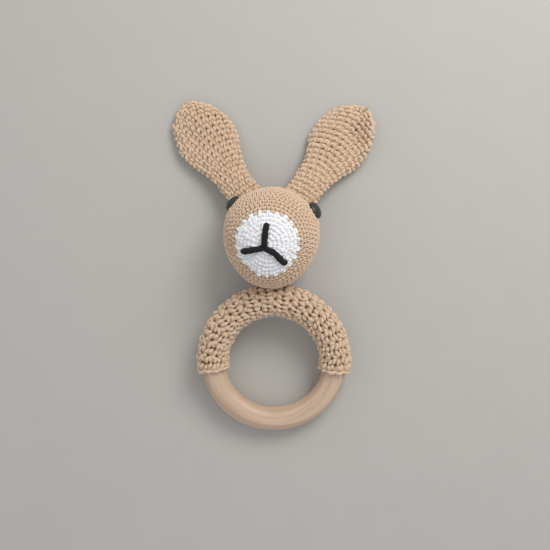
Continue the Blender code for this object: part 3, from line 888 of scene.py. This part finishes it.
def make_head():
    """The ball: white rounds of the muzzle, a round of white and oat stitches in turn, then oat rounds."""
    rng = np.random.default_rng(SEED + 2)
    surface = head_surface(HEAD_VISIBLE_RADIUS - STITCH_SEAT * HEAD_YARN, floor=2 * HEAD_YARN)
    rounds = {"begin": HEAD_ROUND_START, "counts": head_counts, "multiple": 6}
    places = stitch_rounds(surface, HEAD_PITCH, HEAD_ROW, **rounds)
    row, k = places[:, 4], places[:, 5]
    white = (row < MUZZLE_ROUNDS) | ((row == MUZZLE_ROUNDS) & (k % 2 == 0))
    edge = (MUZZLE_ROUNDS + MUZZLE_EDGE) * places[0, 3]
    depth = HEAD_WALL_DEPTH * HEAD_YARN
    holes = hole_places(surface, places, depth, BALL_HOLES)

    tooth = row[white] == MUZZLE_ROUNDS
    work = {"stations": 8, "loose": MUZZLE_LOOSENESS}
    strands = crochet(surface, places[white][~tooth], BALL_STITCH, WHITE_YARN, rng, **work)
    strands += crochet(surface, places[white][tooth], POINTED_STITCH, WHITE_YARN, rng, **work)
    muzzle = strand_piece("muzzle_stitches", strands, corners=8)
    set_material(muzzle, materials["white_yarn"])
    grid = {"u_range": (0, 1), "v_range": (0.0, edge), "columns": 240, "rows": 60}
    pits = {"holes": holes[white], "hole_size": MUZZLE_HOLE}
    patch = skin("muzzle_wall", surface, MUZZLE_WALL_DEPTH * WHITE_YARN, **grid, **pits)
    set_material(patch, materials["white_lining"])
    muzzle = join("white_muzzle", [muzzle, patch])
    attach(muzzle, "head")
    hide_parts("muzzle")

    strands = crochet(surface, places[~white], BALL_STITCH, HEAD_YARN, rng, stations=7)
    ball = strand_piece("head_stitches", strands, corners=6)
    set_material(ball, materials["oat_yarn_fine"])
    grid = {"u_range": (0, 1), "v_range": (edge, HEAD_WALL_END), "columns": 300, "rows": 160}
    wall = skin("head_wall", surface, depth, **grid, holes=holes[~white], hole_size=HEAD_HOLE)
    set_material(wall, materials["oat_lining_fine"])
    ball = join("crocheted_head", [ball, wall])
    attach(ball, "head")
    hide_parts("head_shell")


def make_stuffing():
    """A loose ball of polyester fibre."""
    surface = head_surface(HEAD_RADIUS - STUFFING_INSET, STUFFING_FLOOR, rows=61, columns=90)
    lumps = soft_waves(surface.points, size=6 * MM, amount=1.2 * MM, seed=SEED + 3)
    rows, columns = lumps.shape
    points = surface.points + surface.normals * (lumps - STUFFING_SINK)[..., None]
    points = np.vstack([points.reshape(-1, 3), points[0].mean(axis=0), points[-1].mean(axis=0)])
    index = np.arange(rows * columns).reshape(rows, columns)
    right = np.roll(index, -1, axis=1)
    quads = np.stack([index[:-1], right[:-1], right[1:], index[1:]], axis=-1).reshape(-1, 4)
    top, bottom = len(points) - 2, len(points) - 1
    caps = np.concatenate([
        np.stack([right[0], index[0], np.full(columns, top)], axis=-1),
        np.stack([index[-1], right[-1], np.full(columns, bottom)], axis=-1),
    ])
    ball = recalculate(mesh_object("fibre_stuffing", points, quads, [caps]))
    set_material(ball, materials["stuffing"])
    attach(ball, "head")
    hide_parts("head_stuffing")


def face_path(places, start_depth, end_depth):
    """A smooth path over the muzzle, which comes out of it at one end and dives in at the other."""
    stops = [Vector(sphere_direction(radians(p), radians(a))) for p, a in places]
    points = []
    for a, b in zip(stops, stops[1:]):
        steps = max(6, int(acos(min(1, a.dot(b))) / FACE_STEP))
        points += [a.slerp(b, i / steps) for i in range(steps)]
    points.append(stops[-1])
    out = np.array(points)
    for _ in range(6):
        out[1:-1] = (out[:-2] + 2 * out[1:-1] + out[2:]) / 4
    out = unit(out)
    t = np.linspace(0, 1, len(out))
    dive = start_depth * np.exp(-((t / FACE_DIVE) ** 2)) + end_depth * np.exp(-(((1 - t) / FACE_DIVE) ** 2))
    reach = HEAD_VISIBLE_RADIUS + FACE_SEAT * FACE_YARN - dive
    return head_to_world(out * reach[:, None]), out @ np.array(HEAD_TILT).T


def make_face():
    mouth_right = (FACE_JUNCTION, MOUTH_RIGHT_BEND, MOUTH_RIGHT_END, MOUTH_RIGHT_HOOK)
    stitches = {
        "nose_stitch": ((FACE_JUNCTION, NOSE_TOP), NOSE_START_DEPTH),
        "mouth_stitch_left": ((FACE_JUNCTION, MOUTH_LEFT_END), MOUTH_START_DEPTH),
        "mouth_stitch_right": (mouth_right, MOUTH_START_DEPTH),
    }
    for number, (cad_node, (places, start_depth)) in enumerate(stitches.items()):
        path, normals = face_path(places, start_depth, FACE_END_DEPTH)
        yarn = thick_yarn(path, normals, FACE_YARN, SEED + 20 + number)
        piece = strand_piece("black_" + cad_node, yarn, corners=20)
        set_material(piece, materials["black_yarn"])
        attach(piece, "head")
        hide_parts(cad_node)


def lathe(name, profile, origin, direction, steps=56):
    """A turned piece about direction from origin, through (radius, height) points from top to bottom."""
    z_axis = np.array(direction)
    x_axis = unit(np.cross((0.0, 0.0, 1.0), z_axis))
    y_axis = np.cross(z_axis, x_axis)
    turn = 2 * pi * np.arange(steps) / steps
    inner = profile[1:-1]
    local = np.array([[(r * cos(a), r * sin(a), h) for a in turn] for r, h in inner]).reshape(-1, 3)
    local = np.vstack([local, [(0, 0, profile[0][1]), (0, 0, profile[-1][1])]])
    index = np.arange(len(inner) * steps).reshape(len(inner), steps)
    right = np.roll(index, -1, axis=1)
    quads = np.stack([index[:-1], index[1:], right[1:], right[:-1]], axis=-1).reshape(-1, 4)
    top, bottom = len(local) - 2, len(local) - 1
    caps = np.concatenate([
        np.stack([index[0], right[0], np.full(steps, top)], axis=-1),
        np.stack([right[-1], index[-1], np.full(steps, bottom)], axis=-1),
    ])
    piece = mesh_object(name, to_world(local, origin, x_axis, y_axis, z_axis), quads, [caps])
    piece.data.set_sharp_from_angle(angle=radians(40))
    return recalculate(piece)


def eye_profile():
    """The domed eye, its flat back and its ribbed stem, as (radius, height) points."""
    top = EYE_HEIGHT - EYE_RIM
    dome = [(EYE_RADIUS * sin(a), EYE_RIM + top * cos(a)) for a in np.linspace(0, pi / 2, 17)]
    back = [(EYE_RADIUS - EYE_EDGE, EYE_RIM / 3), (EYE_RADIUS - EYE_RIM / 2, 0), (EYE_STEM_RADIUS, 0)]
    ribs = []
    for i in range(STEM_RIBS):
        start = -STEM_RIB_START - i * STEM_RIB_PITCH
        ribs.append((EYE_STEM_RADIUS, start))
        ribs.append((EYE_STEM_RADIUS + STEM_RIB_HEIGHT, start - STEM_RIB_HEIGHT))
        ribs.append((EYE_STEM_RADIUS, start - 2 * STEM_RIB_HEIGHT))
    tip = [(EYE_STEM_RADIUS / 2, -EYE_STEM_LENGTH), (0, -EYE_STEM_LENGTH)]
    return dome + back + ribs + tip


def make_eyes():
    for side, label in ((-1, "left"), (1, "right")):
        out = np.array(HEAD_TILT) @ eye_direction(side)
        origin = np.array(HEAD_CENTRE) + out * (HEAD_RADIUS + EYE_SEAT)
        facing = unit(out + EYE_LIFT * np.array((0, 0, 1)))
        eye = lathe("safety_eye_" + label, eye_profile(), origin, facing)
        set_material(eye, materials["eye_plastic"])
        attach(eye, "head")
        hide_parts("eye_" + label)
        washer = frame["nodes"]["eye_washer_" + label]
        set_material(washer, materials["washer_plastic"])


def make_ears():
    for number, (label, hollow) in enumerate(EAR_HOLLOWS.items()):
        rng = np.random.default_rng(SEED + 30 + number)
        joint = joints[f"ear_{label}_flop"]
        surface = ear_surface(joint, EAR_INSET, hollow, SEED + 40 + number)
        rounds = {"last": EAR_LAST_ROUND, "drift": EAR_DRIFT, "begin": EAR_ROUND_START}
        places = stitch_rounds(surface, EAR_PITCH, EAR_ROW, **rounds)
        strands = crochet(surface, places, ROUND_STITCH, EAR_YARN, rng, loose=EAR_LOOSENESS)
        fabric = strand_piece("ear_stitches_" + label, strands)
        set_material(fabric, materials["oat_yarn"])
        depth = EAR_WALL_DEPTH * EAR_YARN
        holes = hole_places(surface, places, depth, ROUND_HOLES)
        grid = {"u_range": (0, 1), "v_range": (0.0, 1.0), "columns": 150, "rows": 150}
        wall = skin("ear_wall_" + label, surface, depth, **grid, holes=holes, hole_size=EAR_HOLE)
        set_material(wall, materials["oat_lining_fine"])
        ear = join("crocheted_ear_" + label, [fabric, wall])
        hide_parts("ear_" + label)
        hinge = Vector(joint["pos_m"])
        x_axis = Vector(joint["axis"])
        along = Vector((0, 0, 1)).cross(x_axis)
        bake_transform(ear)
        sizes = (EAR_SEAM_LENGTH, EAR_SEAM_REACH, EAR_SEAM_RISE)
        seam = whip_stitches("ear_sewing_" + label, hinge, x_axis, along, *sizes, rng)
        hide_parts("ear_seam_" + label)
        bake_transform(seam)


def whip_stitches(name, middle, line, across, length, reach, rise, rng):
    """Sewing yarn over and under a join, in stitches side by side along its line."""
    count = round(length / SEWING_PITCH)
    place = np.linspace(-0.5, 0.5, count) * length
    t = np.linspace(-1, 1, 9)
    up = line.cross(across)
    strands = []
    for side in (-1, 1):
        slant = SEWING_SLANT * SEWING_PITCH * side * t
        arch = side * (rise * (1 - t**2) ** 0.7 - 0.35 * rise)
        local = np.stack(np.broadcast_arrays(place[:, None] + slant, reach * t, arch), axis=-1)
        local = local + rng.normal(0, SEWING_SPREAD, (count, 1, 3))
        centre = to_world(local, middle, line, across, up)
        normal = np.broadcast_to(np.array(up) * side, centre.shape)
        radius = np.full((count, len(t)), SEWING_YARN) * (1 - 0.2 * t**2)
        strands.append((centre, normal, radius, rng.uniform(0, 1, count)))
    piece = strand_piece(name, strands)
    return set_material(piece, materials["oat_yarn"])


def make_neck():
    """The stitches that hold the head on the ring's cover."""
    neck = Vector(joints["head_nod"]["pos_m"])
    line = Vector((1, 0, 0))
    across = RING_AXIS.cross(line)
    rng = np.random.default_rng(SEED + 50)
    sizes = (NECK_SEAM_LENGTH, NECK_SEAM_REACH, NECK_SEAM_RISE)
    seam = whip_stitches("neck_sewing", neck, line, across, *sizes, rng)
    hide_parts("neck_seam")
    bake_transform(seam)


def make_floor():
    bpy.ops.mesh.primitive_plane_add(size=FLOOR_SIZE)
    floor = bpy.context.object
    floor.name = "floor"
    floor.data.materials.append(floor_material())


def add_window():
    """A soft light beside the toy, turned towards it."""
    light = bpy.data.lights.new("window", "AREA")
    light.shape = "DISK"
    light.size = WINDOW_SIZE
    light.energy = WINDOW_POWER
    light.color = WINDOW_COLOUR
    lamp = bpy.data.objects.new("window", light)
    bpy.context.scene.collection.objects.link(lamp)
    lamp.location = WINDOW_PLACE
    lamp.rotation_euler = (-Vector(WINDOW_PLACE)).to_track_quat("-Z", "Y").to_euler()


def light_and_camera():
    world = bpy.data.worlds.new("studio")
    bpy.context.scene.world = world
    world.use_nodes = True
    world.node_tree.nodes["Background"].inputs[0].default_value = ROOM_COLOUR
    world.node_tree.nodes["Background"].inputs[1].default_value = ROOM_STRENGTH
    add_window()

    camera = bpy.data.cameras.new("camera")
    camera.angle = radians(CAMERA_ANGLE)
    camera.clip_start = CAMERA_CLIP
    view = bpy.data.objects.new("camera", camera)
    view.location = CAMERA_PLACE
    bpy.context.scene.collection.objects.link(view)
    bpy.context.scene.camera = view
    bpy.context.scene.view_settings.view_transform = "Standard"


light_and_camera()
materials = {
    "beech": beech_material(),
    # Each yarn's first colour is the painted shade in the grooves between its plies.
    "oat_yarn": yarn_material("oat_yarn", (0.42, 0.270, 0.160), (0.67, 0.493, 0.345), (0.79, 0.61, 0.45)),
    "oat_yarn_fine": yarn_material(
        "oat_yarn_fine", (0.49, 0.335, 0.222), (0.70, 0.515, 0.37), (0.82, 0.64, 0.48)
    ),
    "white_yarn": yarn_material("white_yarn", (0.74, 0.74, 0.76), (0.86, 0.865, 0.885), (0.92, 0.925, 0.94)),
    "black_yarn": yarn_material(
        "black_yarn", (0.003, 0.003, 0.003), (0.009, 0.008, 0.010), (0.016, 0.014, 0.018), sheen=0.05
    ),
    # The linings are darker copies of the yarns: painted half shade inside the wall, and painted shade in its
    # holes.
    "oat_lining": lining_material("oat_lining", (0.14, 0.066, 0.030), (0.56, 0.40, 0.27)),
    "oat_lining_fine": lining_material("oat_lining_fine", (0.22, 0.118, 0.060), (0.58, 0.415, 0.285)),
    "white_lining": lining_material("white_lining", (0.50, 0.50, 0.53), (0.80, 0.805, 0.825)),
    "stuffing": plastic_material("stuffing", (0.80, 0.80, 0.79), (0.88, 0.88, 0.87), 0.9, 1500.0),
    "eye_plastic": plastic_material("eye_plastic", (0.020, 0.019, 0.020), (0.030, 0.028, 0.029), 0.34, 700.0),
    "washer_plastic": plastic_material("washer_plastic", (0.74, 0.74, 0.72), (0.80, 0.80, 0.78), 0.5, 500.0),
}
make_floor()
make_ring()
make_cover()
make_head()
make_face()
make_eyes()
make_ears()
make_neck()
make_stuffing()
